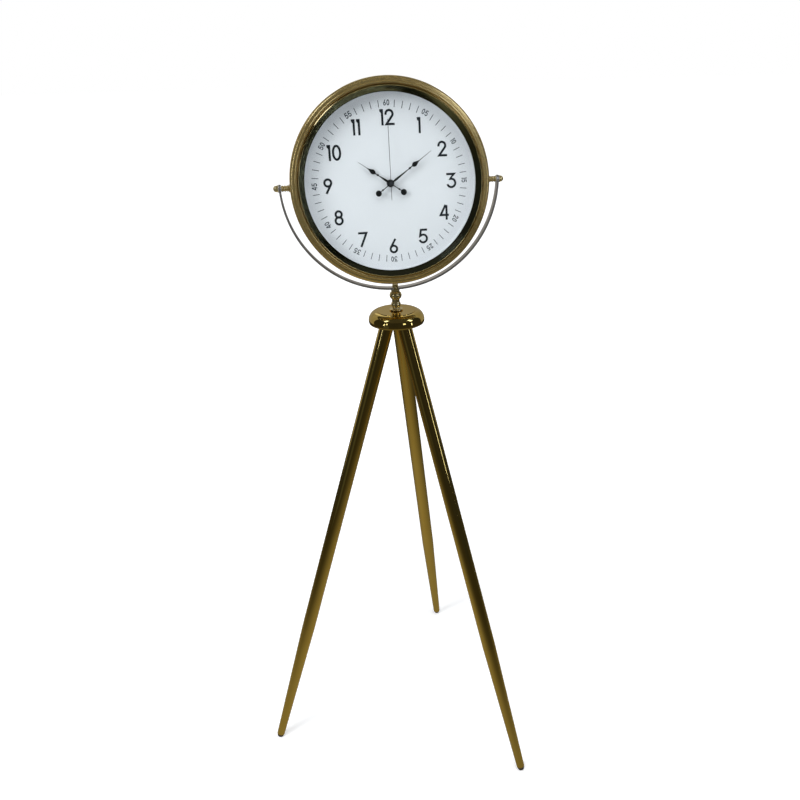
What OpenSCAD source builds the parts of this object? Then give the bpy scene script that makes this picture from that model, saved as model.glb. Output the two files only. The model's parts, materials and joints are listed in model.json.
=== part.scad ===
// Tripod floor clock: a round clock head hung on two side pins in a flat-bar yoke, which turns on a brass
// post in the hub of a three-legged stand. Millimetres, +Z up. The origin is on the floor under the hub's
// axis, and the dial faces -Y. The head is drawn tilted back and the stand turned under it, as in use.

/* [Stance] */
// Height of the tilt axis above the floor
tilt_axis_h = 1384.5; // [1300:0.5:1460]
// Angle by which the dial is tilted to face upwards
tilt = 5.1; // [0:0.1:20]
// Turn of the stand under the head, about the vertical
stand_turn = -20.8; // [-60:0.1:60]
// Radius on the floor of the circle through the three leg axes
foot_circle_r = 365; // [320:1:400]

/* [Legs] */
// Outside diameter of a leg tube
leg_d = 31; // [28:0.5:32]
// Wall of a leg tube
leg_wall = 1.5; // [1:0.1:2.5]
// Length of the swaged taper at the foot of a leg
leg_taper_len = 350; // [250:1:450]
// Diameter of the tube at its narrow end
leg_tip_d = 19; // [18:0.5:24]
// Radius at which the leg axes pass the hub's lower face
leg_top_r = 20.3; // [20:0.1:24]
// Depth to which a leg enters its socket in the hub
leg_seat = 6; // [4:0.5:8]
// Length of the threaded plug pressed into the top of a leg
plug_len = 28; // [20:1:40]
// Diameter of the stud that joins a leg to the hub
stud_d = 8; // [6:0.5:8]
// Length of that stud inside the hub, past the end of the leg
stud_bite = 12; // [8:1:13]
// Radius of the rubber foot's round end
foot_r = 8.5; // [7.5:0.1:9]
// Height of rubber that shows between the round end and the tube
foot_collar = 3; // [1:0.5:8]
// Length of the foot's stem inside the tube
foot_stem = 18; // [10:1:30]
// Depth of the flat that the foot stands on
foot_flat = 1.2; // [0.8:0.1:2]

/* [Hub] */
// Outside radius of the hub cap
hub_r = 60; // [56:0.5:66]
// Height of the hub cap
hub_h = 26; // [24:0.5:34]
// Radius of the hub's rounded shoulder
hub_shoulder = 19; // [12:0.5:20]
// Radius of the hub's rolled lower rim
hub_rim = 3.5; // [3:0.5:5]
// Sheet thickness of the hub cap
hub_wall = 1.5; // [1:0.1:2]
// Height of the crease between the flat top and the shoulder
hub_step = 1; // [0.5:0.1:1.5]
// Wall of the swivel bush
bush_wall = 2; // [1.5:0.1:3]
// Thickness of the swivel bush's flange
bush_flange = 1; // [0.6:0.1:2]

/* [Post] */
// Height of the post from the hub's top to the underside of the yoke
post_h = 46.5; // [44:0.5:60]
// Radius of the post's big bead
bead_r = 13; // [11:0.5:15]
// Half height of the post's big bead
bead_half = 9.5; // [7:0.5:10]
// Radius of the post's lower bulge
bulge_r = 10.5; // [9.5:0.1:12]
// Radius of the post's necks
neck_r = 8.2; // [7:0.1:9]
// Radius of the post's foot flange
post_base_r = 14.5; // [12:0.5:16]
// Radius of the spigot that turns in the bush
spigot_r = 7; // [6:0.5:7.5]
// Radius of the slotted head that holds the yoke
post_head_r = 9; // [8.5:0.1:11]

/* [Yoke] */
// Gap between the case and the yoke's hoop
yoke_gap = 17.5; // [16:0.5:24]
// Height of the hoop's centre above the tilt axis
yoke_rise = 4; // [0:0.5:5]
// Thickness of the flat bar
band_t = 4; // [3:0.5:5]
// Width of the flat bar
band_w = 15; // [12:0.5:16]
// Extra thickness of the eyes at the bar's ends, on their inner face
eye_lap = 0.4; // [0.3:0.1:1]
// How far the round eyes stand out beyond the edges of the yoke's bar
eye_spread = 0.5; // [0.3:0.1:1.5]
// Diameter of the screw that clamps the yoke to the post
clamp_d = 6; // [5:0.5:6]

/* [Case] */
// Outside radius of the case
case_r = 199; // [197:0.5:200]
// Half the depth of the case
case_half = 25; // [24:0.5:28]
// Sheet thickness of the case
sheet = 1.5; // [1:0.1:2]
// Radius of the case's rear corner
rear_roll = 8; // [5:0.5:9]
// Radius of the outer front roll
front_roll = 8; // [6:0.5:8]
// Depth of the outer front roll's centre, from the tilt axis
front_roll_y = 12; // [10:0.5:13]
// Radius of the inner front roll
inner_roll = 3.6; // [3.2:0.1:4]
// Width of the case's front, from its outside to the opening that the bezel is pressed into
rim_w = 15.9; // [15.5:0.1:16.5]
// Number of screws in the back cover
back_screw_count = 6; // [4:1:8]
// Radius of the access hole in the back cover
access_r = 60; // [50:1:80]
// Thickness of the back cover
cover_t = 1; // [0.8:0.1:2]

/* [Bezel and dial] */
// Width of the bezel, from the case's opening to its inner edge, where the glass shows
sight_w = 12.7; // [11:0.1:14]
// Depth of the bezel's front bead, from the tilt axis
bead_y = 22.6; // [22:0.1:24]
// Radius of the bezel's front bead
bezel_bead = 1.4; // [1:0.1:1.6]
// Height of the sloping face of the bezel
slope_h = 10.4; // [8:0.1:12]
// Sheet thickness of the bezel
bezel_t = 1.2; // [1:0.1:1.5]
// Thickness of the glass
glass_t = 2.5; // [2:0.1:3]
// Thickness of the gasket behind the glass
gasket_t = 0.8; // [0.5:0.1:1.5]
// Depth of the dial's face, from the tilt axis
dial_y = -8; // [-9:0.1:-6]
// Thickness of the dial plate
dial_t = 1.2; // [0.8:0.1:1.6]
// Thickness of the ring that clamps the dial from behind
clamp_ring_t = 2; // [1:0.1:3]

/* [Side pins] */
// Radius of the beads turned on a side pin
pin_bead_r = 6; // [5.5:0.1:7]
// Length of one bead on a side pin, rounded to a whole number of beads
pin_bead_len = 5; // [4:0.1:6]
// Radius of the side pin's collar against the case
pin_collar_r = 7.5; // [7:0.1:9]
// Thickness of that collar
pin_collar_t = 2; // [1:0.1:3]
// Radius of the side pin where it turns in the yoke
journal_r = 4; // [3.5:0.1:4.5]
// Radius of the thread that takes the end knob
knob_thread_r = 3; // [2.5:0.1:3.2]
// Radius of the end knob's round end
knob_r = 6.2; // [5.5:0.1:7]
// Length of the end knob up to its round end
knob_body = 3.6; // [3:0.1:9]
// Thickness of a nylon washer on the side pins
washer_t = 0.6; // [0.4:0.1:1]

/* [Movement] */
// Side of the square quartz movement
movement_side = 56; // [55:0.5:58]
// Depth of the movement
movement_depth = 16; // [16:0.1:17]
// Wall of the movement's housing
movement_wall = 1.5; // [1.2:0.1:1.6]
// Diameter of the round battery
cell_d = 14.2; // [13.5:0.1:14.5]
// Length of the battery
cell_len = 49.5; // [48:0.1:50]
// Module of the motion work's gears
gear_module = 0.5; // [0.48:0.01:0.52]
// Radius of the set knob
set_knob_r = 6; // [5:0.1:7]

/* [Hands] */
// Hour that the hands show
time_h = 10; // [0:1:11]
// Minute that the hands show
time_m = 9.1; // [0:0.1:59.9]
// Length of the minute hand
minute_len = 103; // [80:1:120]
// Length of the hour hand
hour_len = 76; // [60:1:90]
// Length of the second hand
second_len = 121; // [100:1:135]
// Distance from the centre to each counterweight disc
tail_len = 31; // [25:1:36]
// Radius of a counterweight disc
tail_r = 6; // [5:0.1:7]
// Thickness of the hour and minute hands
hand_t = 0.8; // [0.5:0.1:1]

/* [Hidden] */
$fn = 96;
// Radial running clearance of a shaft in its hole
run = 0.05;
// Radial clearance between the thin nested arbors of the movement
arbor_run = 0.08;
// Clearance between faces of pieces that turn on each other
face_gap = 0.2;
// Clearance of one sheet part slipped into another
slip = 0.15;
// Overlap by which cuts pass through what they cut
cut = 1;
// Length that is longer than any part
far = 2000;

leg_angles = [210, 330, 90];
yoke_r = case_r + yoke_gap;
yoke_out_r = yoke_r + band_t;
yoke_low_z = tilt_axis_h + yoke_rise - yoke_out_r;
hub_top_z = yoke_low_z - post_h;
hub_z = hub_top_z - hub_h;
splay = atan2(foot_circle_r - leg_top_r, hub_z);
leg_run = hub_z / cos(splay);
foot_centre = (foot_r - foot_flat) / cos(splay);
tube_start = foot_centre + foot_collar;
mouth_r = hub_r - hub_rim;
bush_bore_r = spigot_r + run;
bush_r = bush_bore_r + bush_wall;
bush_z = 12;
tail_washer_r = bush_r + 2.5;

open_r = case_r - rim_w;
sight_r = open_r - sight_w;
open_back_z = -case_half + sheet;
skirt_r = open_r - slip;
skirt_in_r = skirt_r - bezel_t;
glass_y = bead_y - slope_h - bezel_t;
glass_r = skirt_in_r - slip;
ring_in_r = sight_r + 1.8;
dial_back_y = dial_y - dial_t;
clamp_back_y = dial_back_y - clamp_ring_t;
inner_roll_c = open_r + inner_roll;
inner_roll_y = front_roll_y + front_roll - 1.5;
flange_mid_r = (open_r + case_r - rear_roll) / 2;
cover_r = case_r - rear_roll - cut;
back_screw_r = 1.6;

pin_start = case_r + pin_collar_t;
washer_x = yoke_r - eye_lap - washer_t - run;
pin_beads = max(1, round((washer_x - run - pin_start) / pin_bead_len));
pin_bead_pitch = (washer_x - run - pin_start) / pin_beads;
knob_x = yoke_out_r + washer_t + 2 * run;

movement_y = dial_back_y;
lid_y = movement_y - movement_depth;
inner_front_y = movement_y - movement_wall;
inner_back_y = lid_y + movement_wall;
cell_v = -movement_side / 2 + movement_wall + cell_d / 2 + face_gap;
cell_y = inner_front_y - cell_d / 2 - face_gap;
bay_top_v = cell_v + cell_d / 2 + face_gap;
gear_gap = 20 * gear_module;
wheel_t = 1.2;
hour_wheel_y = inner_front_y - 0.4 - wheel_t;
minute_wheel_y = hour_wheel_y - 0.4 - wheel_t;
cannon_y = minute_wheel_y - 0.3;
cannon_t = wheel_t + 0.6;
second_wheel_y = cannon_y - 1.5;
second_arbor_r = 0.6;
minute_bore_r = second_arbor_r + arbor_run;
minute_arbor_r = minute_bore_r + 0.9;
hour_bore_r = minute_arbor_r + arbor_run;
hour_pipe_r = hour_bore_r + 0.9;
bushing_bore_r = hour_pipe_r + arbor_run;
bushing_r = 4;
bushing_top_y = dial_y + 3.5;
hour_hand_y = dial_y + 5.2;
minute_hand_y = hour_hand_y + hand_t + 2;
second_hand_y = minute_hand_y + hand_t + 1.6;
minute_angle = time_m * 6;
hour_angle = time_h * 30 + time_m / 2;
second_angle = 0;

BRASS = "goldenrod";
STEEL = "silver";
NYLON = "dimgray";

// Puts a leg's own axis, which starts on the floor and runs up along Z, in its place on the stand
module on_leg(i)
    rotate([0, 0, leg_angles[i] + stand_turn])
        translate([foot_circle_r, 0, 0]) rotate([0, -splay, 0]) children();

module in_hub() translate([0, 0, hub_z]) children();

module on_post() translate([0, 0, hub_top_z]) children();

// Head frame: X to the right of the dial, Y up it and Z out of its face, from the tilt axis
module in_head() translate([0, 0, tilt_axis_h]) rotate([90 - tilt, 0, 0]) children();

// A ring of rectangular section about Z
module ring(r_in, r_out, z_low, z_high)
    rotate_extrude() translate([r_in, z_low]) square([r_out - r_in, z_high - z_low]);

// A plain washer or tube along Z
module tube(r_in, r_out, z_low, z_high)
    translate([0, 0, z_low]) difference() {
        cylinder(r = r_out, h = z_high - z_low);
        translate([0, 0, -cut]) cylinder(r = r_in, h = z_high - z_low + 2 * cut);
    }

// Mirrors a right-hand side-pin part to the left where side is -1
module on_side(side) mirror([side < 0 ? 1 : 0, 0, 0]) rotate([0, 90, 0]) children();

// Legs

module leg(i) color(BRASS) on_leg(i)
    rotate_extrude() polygon([
        [leg_tip_d / 2 - leg_wall, tube_start], [leg_tip_d / 2, tube_start],
        [leg_d / 2, leg_taper_len], [leg_d / 2, leg_run + leg_seat],
        [leg_d / 2 - leg_wall, leg_run + leg_seat], [leg_d / 2 - leg_wall, leg_taper_len]]);

module leg_plugs() color(STEEL)
    for (i = [0:2]) on_leg(i)
        tube(stud_d / 2, leg_d / 2 - leg_wall, leg_run + leg_seat - plug_len, leg_run + leg_seat);

module leg_studs() color(STEEL)
    for (i = [0:2]) on_leg(i)
        translate([0, 0, leg_run + leg_seat - plug_len])
            cylinder(r = stud_d / 2, h = plug_len + stud_bite);

module foot(i) color(NYLON)
    difference() {
        on_leg(i) {
            translate([0, 0, foot_centre]) sphere(r = foot_r);
            translate([0, 0, foot_centre]) cylinder(r = foot_r, h = foot_collar);
            translate([0, 0, tube_start]) cylinder(r = leg_tip_d / 2 - leg_wall, h = foot_stem);
        }
        translate([0, 0, -far / 2]) cube(far, center = true);
    }

// Hub

// Half section of the spun cap, drawn smaller by inset on every side
module cap_section(inset) {
    flat_r = hub_r - hub_shoulder;
    shoulder_z = hub_h - hub_step - hub_shoulder;
    translate([0, inset]) square([flat_r, hub_h - 2 * inset]);
    translate([0, inset]) square([mouth_r, hub_rim]);
    translate([0, hub_rim]) square([hub_r - inset, shoulder_z - hub_rim]);
    translate([flat_r, shoulder_z]) circle(r = hub_shoulder - inset);
    translate([mouth_r, hub_rim]) circle(r = hub_rim - inset);
}

module hub_cap() color(BRASS) in_hub()
    difference() {
        rotate_extrude() intersection() {
            difference() {
                cap_section(0);
                cap_section(hub_wall);
                translate([-cut, -cut]) square([mouth_r + cut, hub_rim + cut]);
            }
            square([hub_r + cut, hub_h + cut]);
        }
        cylinder(r = bush_r + run, h = hub_h + cut);
    }

// Cast block that fills the cap: three leaning sockets below, the swivel bore in the middle
module hub_block() color(STEEL)
    difference() {
        in_hub() rotate_extrude() intersection() {
            cap_section(hub_wall + slip);
            translate([0, hub_wall]) square([mouth_r - slip, hub_h]);
        }
        in_hub() translate([0, 0, -cut]) cylinder(r = bush_r + run, h = hub_h + 2 * cut);
        in_hub() translate([0, 0, -cut]) cylinder(r = tail_washer_r + face_gap, h = bush_z + cut);
        for (i = [0:2]) on_leg(i) {
            translate([0, 0, leg_run - leg_d]) cylinder(r = leg_d / 2 + run, h = leg_d + leg_seat);
            translate([0, 0, leg_run]) cylinder(r = stud_d / 2, h = leg_seat + stud_bite);
        }
    }

module swivel_bush() color(NYLON) in_hub() {
    tube(bush_bore_r, bush_r, bush_z, hub_h);
    tube(bush_bore_r, bush_r + bush_wall, hub_h, hub_h + bush_flange);
}

// Post

// Turned spindle: foot flange, cove, bulge, neck, big bead, collar and slotted head
module post() color(BRASS) on_post()
    difference() {
        union() {
            base_z = bush_flange + run;
            edge_r = 1.3;
            bulge_z = 12.5;
            bulge_curve = 9;
            bead_z = post_h - bead_half - 4;
            translate([0, 0, bush_z - hub_h - face_gap]) cylinder(r = spigot_r, h = hub_h - bush_z + 3);
            translate([0, 0, base_z]) cylinder(r = post_base_r - edge_r, h = 2 * edge_r);
            rotate_extrude() translate([post_base_r - edge_r, base_z + edge_r]) circle(r = edge_r);
            translate([0, 0, base_z]) cylinder(r = neck_r, h = post_h - base_z);
            rotate_extrude() difference() {
                translate([0, base_z + 2 * edge_r - cut]) square([neck_r + 2.4, 3.4]);
                translate([neck_r + 2.6, base_z + 2 * edge_r + 2.6]) circle(r = 2.6);
            }
            rotate_extrude() intersection() {
                translate([bulge_r - bulge_curve, bulge_z]) circle(r = bulge_curve);
                translate([0, bulge_z - 6]) square([bulge_r + cut, 12]);
            }
            rotate_extrude() intersection() {
                translate([bead_r - bead_half, bead_z]) circle(r = bead_half);
                translate([0, bead_z - bead_half]) square([bead_r + cut, 2 * bead_half]);
            }
            translate([0, 0, post_h - 4]) cylinder(r = post_head_r, h = band_t + 4);
        }
        translate([-far / 2, -band_w / 2 - run, post_h]) cube([far, band_w + 2 * run, far]);
        translate([0, 0, post_h - 20]) cylinder(r = clamp_d / 2, h = 20 + cut);
        translate([0, 0, bush_z - hub_h - cut]) cylinder(r = clamp_d / 2, h = 13 + cut);
    }

module post_washer() color(STEEL) in_hub()
    tube(clamp_d / 2 + run, tail_washer_r, bush_z - face_gap - 1.5, bush_z - face_gap);

module post_screw() color(STEEL) in_hub() {
    head_z = bush_z - face_gap - 1.5;
    translate([0, 0, head_z - 3]) cylinder(r = 5, h = 3);
    translate([0, 0, head_z]) cylinder(r = clamp_d / 2, h = 12);
}

// Yoke

module yoke_band() color(STEEL)
    difference() {
        union() {
            drop = asin(yoke_rise / (yoke_r + band_t / 2));
            translate([0, 0, tilt_axis_h + yoke_rise]) rotate([90, 0, 0]) rotate([0, 0, 180 + drop])
                rotate_extrude(angle = 180 - 2 * drop) translate([yoke_r, -band_w / 2]) square([band_t, band_w]);
            for (s = [-1, 1])
                translate([0, 0, tilt_axis_h]) on_side(s)
                    translate([0, 0, yoke_r - eye_lap])
                        cylinder(r = band_w / 2 + eye_spread, h = band_t + eye_lap);
        }
        for (s = [-1, 1])
            translate([0, 0, tilt_axis_h]) on_side(s)
                translate([0, 0, yoke_r - 3 * cut]) cylinder(r = journal_r + run, h = band_t + 4 * cut);
        translate([0, 0, yoke_low_z - cut]) cylinder(r = clamp_d / 2 + run, h = band_t + 2 * cut);
    }

// Barrel-headed screw on the inside of the hoop, down into the post
module yoke_screw() color(BRASS) on_post() {
    head_z = post_h + band_t + run;
    translate([0, 0, head_z]) cylinder(r = 6.5, h = 3);
    translate([0, 0, head_z + 3]) cylinder(r = 5, h = 1);
    translate([0, 0, head_z + 4]) cylinder(r = 6, h = 2.5);
    translate([0, 0, head_z - band_t - 14]) cylinder(r = clamp_d / 2, h = band_t + 14);
}

module tilt_washers() color("ivory")
    for (s = [-1, 1]) translate([0, 0, tilt_axis_h]) on_side(s) {
        tube(journal_r + run, pin_bead_r + 0.8, washer_x, washer_x + washer_t);
        tube(journal_r + run, pin_bead_r + 0.8, yoke_out_r + run, yoke_out_r + run + washer_t);
    }

// Case

// Half section of the spun case with its two front rolls, drawn smaller by inset on every side
module drum_section(inset) {
    front_c = case_r - front_roll;
    rear_y = -case_half + rear_roll;
    difference() {
        union() {
            translate([0, -case_half + inset]) square([case_r - rear_roll, rear_roll]);
            translate([0, rear_y]) square([case_r - inset, front_roll_y - rear_y]);
            translate([0, rear_y]) square([inner_roll_c, inner_roll_y - rear_y]);
            translate([case_r - rear_roll, rear_y]) circle(r = rear_roll - inset);
            translate([front_c, front_roll_y]) circle(r = front_roll - inset);
            translate([inner_roll_c, inner_roll_y]) circle(r = inner_roll - inset);
        }
        translate([-cut, -2 * case_half]) square([open_r + inset + cut, 4 * case_half]);
    }
}

module case_drum() color(BRASS) in_head()
    difference() {
        rotate_extrude() difference() {
            drum_section(0);
            drum_section(sheet);
            translate([open_r - cut, open_back_z]) square([sheet + cut + slip, inner_roll_y - 6 - open_back_z]);
        }
        for (s = [-1, 1])
            on_side(s) translate([0, 0, case_r - 3 * sheet]) cylinder(r = journal_r, h = 4 * sheet);
        for (i = [1:back_screw_count])
            rotate([0, 0, (i - 0.5) * 360 / back_screw_count])
                translate([flange_mid_r, 0, -case_half - cut]) cylinder(r = back_screw_r, h = sheet + 2 * cut);
    }

// Bezel: front bead, slope down to the sight edge, and the skirt that carries glass and dial
module bezel() color(BRASS) in_head() {
    top_r = skirt_r - bezel_bead;
    top_y = bead_y + bezel_bead * 0.35;
    rotate_extrude() translate([skirt_r - 0.8, bead_y]) circle(r = bezel_bead);
    rotate_extrude() polygon([
        [sight_r, glass_y], [sight_r, glass_y + bezel_t], [sight_r + bezel_t, glass_y + bezel_t],
        [top_r, top_y], [skirt_r, bead_y], [skirt_r, clamp_back_y],
        [skirt_in_r, clamp_back_y], [skirt_in_r, bead_y - 2.2], [ring_in_r, glass_y]]);
}

module lens() color("lightcyan", 0.4) in_head()
    translate([0, 0, glass_y - glass_t]) cylinder(r = glass_r, h = glass_t);

module lens_gasket() color(NYLON) in_head()
    ring(ring_in_r, glass_r, glass_y - glass_t - gasket_t, glass_y - glass_t);

module dial_ring() color("white") in_head()
    ring(ring_in_r, glass_r, dial_y, glass_y - glass_t - gasket_t);

module dial_plate() color("aliceblue") in_head()
    tube(bushing_r + slip, glass_r, dial_back_y, dial_y);

module dial_clamp_ring() color(STEEL) in_head()
    ring(ring_in_r, skirt_in_r, clamp_back_y, dial_back_y);

module back_cover() color("black") in_head()
    difference() {
        tube(access_r, cover_r, -case_half - cover_t, -case_half);
        for (i = [1:back_screw_count])
            rotate([0, 0, (i - 0.5) * 360 / back_screw_count])
                translate([flange_mid_r, 0, -case_half - cover_t - cut])
                    cylinder(r = back_screw_r, h = cover_t + 2 * cut);
    }

module back_screws() color(STEEL) in_head()
    for (i = [1:back_screw_count])
        rotate([0, 0, (i - 0.5) * 360 / back_screw_count])
            translate([flange_mid_r, 0, -case_half - cover_t]) {
                cylinder(r = back_screw_r, h = cover_t + sheet + 3);
                intersection() {
                    translate([0, 0, 2.6]) sphere(r = 4);
                    translate([0, 0, -2]) cylinder(r = 3.2, h = 2);
                }
            }

// Side pins, on which the head tilts

module side_pin(side) color(BRASS) in_head() on_side(side) {
    nut_x = case_r - sheet - 6;
    ring_c = pin_bead_pitch / 2;
    translate([0, 0, nut_x]) cylinder(r = journal_r, h = washer_x - run - nut_x);
    translate([0, 0, case_r]) cylinder(r = pin_collar_r, h = pin_collar_t);
    for (i = [0:pin_beads - 1])
        translate([0, 0, pin_start + (i + 0.5) * pin_bead_pitch]) {
            rotate_extrude() translate([pin_bead_r - ring_c, 0]) circle(r = ring_c);
            cylinder(r = pin_bead_r - ring_c, h = 2 * ring_c, center = true);
        }
    translate([0, 0, washer_x - run - cut]) cylinder(r = journal_r, h = knob_x - washer_x + run + cut);
    translate([0, 0, knob_x]) cylinder(r = knob_thread_r, h = knob_r);
}

module side_pin_nuts() color(STEEL) in_head()
    for (s = [-1, 1]) on_side(s)
        translate([0, 0, case_r - sheet - 4]) difference() {
            cylinder(r = journal_r * 1.8, h = 3.8, $fn = 6);
            translate([0, 0, -cut]) cylinder(r = journal_r, h = 4 + 2 * cut);
        }

// Acorn knob that closes the end of a side pin
module knob(side) color(BRASS) in_head() on_side(side)
    translate([0, 0, knob_x + run]) difference() {
        union() {
            cylinder(r = knob_r + 0.8, h = 1.8);
            cylinder(r = knob_r, h = knob_body);
            intersection() {
                translate([0, 0, knob_body]) sphere(r = knob_r);
                cylinder(r = knob_r + cut, h = knob_body + knob_r + cut);
            }
        }
        translate([0, 0, -cut]) cylinder(r = knob_thread_r + run, h = knob_r + cut + run);
    }

// Movement

// Square with rounded corners, centred
module rounded_square(side, r) {
    square([side, side - 2 * r], center = true);
    square([side - 2 * r, side], center = true);
    for (x = [-1, 1], y = [-1, 1]) translate([x, y] * (side / 2 - r)) circle(r = r);
}

module movement_housing() color("black") in_head()
    difference() {
        union() {
            translate([0, 0, inner_back_y])
                linear_extrude(movement_y - inner_back_y) rounded_square(movement_side, 3);
            translate([0, 0, movement_y]) cylinder(r = bushing_r, h = bushing_top_y - movement_y);
        }
        translate([0, 0, inner_back_y - cut]) linear_extrude(inner_front_y - inner_back_y + cut)
            difference() {
                rounded_square(movement_side - 2 * movement_wall, 3 - movement_wall);
                translate([-far / 2, bay_top_v]) square([far, movement_wall]);
            }
        translate([0, 0, inner_front_y - cut])
            cylinder(r = bushing_bore_r, h = bushing_top_y - inner_front_y + 2 * cut);
    }

// Rear lid over the wheels, with the set stem's hole. The battery bay below it stays open
module movement_lid() color("black") in_head()
    translate([0, 0, lid_y]) difference() {
        linear_extrude(movement_wall) intersection() {
            rounded_square(movement_side, 3);
            translate([-far / 2, bay_top_v]) square(far);
        }
        translate([-gear_gap, 0, -cut]) cylinder(r = 1.5 + run, h = movement_wall + 2 * cut);
    }

// Stepper motor: coil bobbin on its core beside the stator plate
module motor_block() color("saddlebrown") in_head()
    translate([14, 17, inner_back_y + 1]) {
        translate([-9, -7, 0]) cube([20, 14, 2]);
        translate([0, 4, 6]) rotate([0, 90, 0]) cylinder(r = 3.4, h = 14, center = true);
        for (x = [-8.5, 7]) translate([x, 0.5, 2]) cube([1.5, 7, 7.5]);
        translate([-3, -5, 2]) cylinder(r = 2, h = 5);
    }

module battery_cell() color("darkslategray") in_head()
    translate([0, cell_v, cell_y]) rotate([0, 90, 0]) {
        cylinder(r = cell_d / 2, h = cell_len, center = true);
        translate([0, 0, cell_len / 2]) cylinder(r = 2.6, h = 1);
    }

module battery_contacts() color(STEEL) in_head()
    for (s = [-1, 1])
        translate([s * (movement_side / 2 - movement_wall - 0.25), cell_v, cell_y])
            cube([0.5, 9, 9], center = true);

module dial_washer() color(STEEL) in_head()
    tube(bushing_r, bushing_r + 3.5, dial_y, dial_y + 0.5);

module dial_nut() color(BRASS) in_head()
    translate([0, 0, dial_y + 0.5]) difference() {
        cylinder(r = bushing_r * 1.6, h = 2, $fn = 6);
        translate([0, 0, -cut]) cylinder(r = bushing_r, h = 2 + 2 * cut);
    }

// Motion work

// Outline of a clock wheel: slim pointed teeth with round-number proportions, first tooth at angle first
function tooth(r, at, half) = [[r[0], at - half], [r[1], at - half * 0.8], [r[2], at - half * 0.3],
    [r[2], at + half * 0.3], [r[1], at + half * 0.8], [r[0], at + half]];
function wheel_points(teeth, first) = [
    for (i = [0:teeth - 1])
        for (p = tooth([gear_module * (teeth / 2 - 1.15), gear_module * teeth / 2, gear_module * (teeth / 2 + 0.8)],
                first + i * 360 / teeth, 82 / teeth))
            p[0] * [cos(p[1]), sin(p[1])]];

module wheel(teeth, first, low, thick)
    translate([0, 0, low]) linear_extrude(thick) polygon(wheel_points(teeth, first));

// Hour wheel and its pipe, which carries the hour hand
module hour_wheel() color(BRASS) in_head()
    difference() {
        union() {
            wheel(32, 0, hour_wheel_y, wheel_t);
            translate([0, 0, hour_wheel_y]) cylinder(r = hour_pipe_r, h = hour_hand_y + hand_t - hour_wheel_y);
        }
        translate([0, 0, hour_wheel_y - cut])
            cylinder(r = hour_bore_r, h = hour_hand_y + hand_t - hour_wheel_y + 2 * cut);
    }

// Minute arbor with its ten-leaf cannon pinion
module minute_arbor() color(BRASS) in_head()
    difference() {
        union() {
            wheel(10, 0, cannon_y, cannon_t);
            translate([0, 0, cannon_y]) cylinder(r = minute_arbor_r, h = minute_hand_y + hand_t - cannon_y);
        }
        translate([0, 0, cannon_y - cut])
            cylinder(r = minute_bore_r, h = minute_hand_y + hand_t - cannon_y + 2 * cut);
    }

// Set wheel: minute wheel, eight-leaf pinion to the hour wheel, and the stem out to the knob
module set_wheel() color(BRASS) in_head() translate([-gear_gap, 0, 0]) {
    wheel(30, 6, minute_wheel_y, wheel_t);
    wheel(8, 22.5, minute_wheel_y, hour_wheel_y + wheel_t - minute_wheel_y);
    translate([0, 0, lid_y - 2]) cylinder(r = 1.5, h = minute_wheel_y - lid_y + 2);
}

// Fluted knob on the back of the movement
module set_knob() color("white") in_head() translate([-gear_gap, 0, lid_y - 4])
    difference() {
        cylinder(r = set_knob_r, h = 4 - face_gap);
        for (i = [0:15]) rotate([0, 0, i * 22.5]) translate([set_knob_r + 0.4, 0, -cut]) cylinder(r = 0.9, h = 6);
        translate([0, 0, 2]) cylinder(r = 1.5, h = 4);
    }

module second_arbor() color(STEEL) in_head() {
    translate([0, 0, inner_back_y + face_gap])
        cylinder(r = second_arbor_r, h = second_hand_y + hand_t - inner_back_y - face_gap);
    translate([0, 0, second_wheel_y]) linear_extrude(0.6)
        polygon([for (i = [0:119]) (i % 2 == 0 ? 7.6 : 7.1) * [cos(i * 3), sin(i * 3)]]);
}

// Hands

// Spade blade from the boss to the point: swelling root, slim stem, small bead, spade and needle
module blade(length, root, bead_at, spade_at) {
    spade_w = 5;
    linear_extrude(hand_t) polygon([[-0.9, 0], [-2.3, root * 0.5], [-1.9, root * 0.8], [-0.8, bead_at - 4], [-1.2, bead_at],
        [-0.9, spade_at - 7], [-spade_w * 0.7, spade_at - 4.2], [-spade_w, spade_at],
        [-spade_w * 0.62, spade_at + 4], [-1.2, spade_at + 9], [-0.5, spade_at + 14], [-0.35, length],
        [0.35, length], [0.5, spade_at + 14], [1.2, spade_at + 9], [spade_w * 0.62, spade_at + 4],
        [spade_w, spade_at], [spade_w * 0.7, spade_at - 4.2], [0.9, spade_at - 7], [1.2, bead_at],
        [0.8, bead_at - 4], [1.9, root * 0.8], [2.3, root * 0.5], [0.9, 0]]);
    translate([0, bead_at, 0]) cylinder(r = 2.2, h = hand_t);
}

module counterweight() {
    translate([-0.8, -tail_len, 0]) cube([1.6, tail_len, hand_t]);
    translate([0, -tail_len * 0.66, 0]) cylinder(r = 1.9, h = hand_t);
    translate([0, -tail_len, 0]) cylinder(r = tail_r, h = hand_t);
}

module hour_hand() color("black") in_head() rotate([0, 0, -hour_angle])
    translate([0, 0, hour_hand_y]) difference() {
        union() {
            cylinder(r = 6.2, h = hand_t);
            blade(hour_len, 20, hour_len * 0.4, hour_len * 0.56);
            counterweight();
        }
        translate([0, 0, -cut]) cylinder(r = hour_pipe_r, h = hand_t + 2 * cut);
    }

module minute_hand() color("black") in_head() rotate([0, 0, -minute_angle])
    translate([0, 0, minute_hand_y]) difference() {
        union() {
            cylinder(r = 6.2, h = hand_t);
            blade(minute_len, 26, minute_len * 0.47, minute_len * 0.595);
            counterweight();
        }
        translate([0, 0, -cut]) cylinder(r = minute_arbor_r, h = hand_t + 2 * cut);
    }

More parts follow.
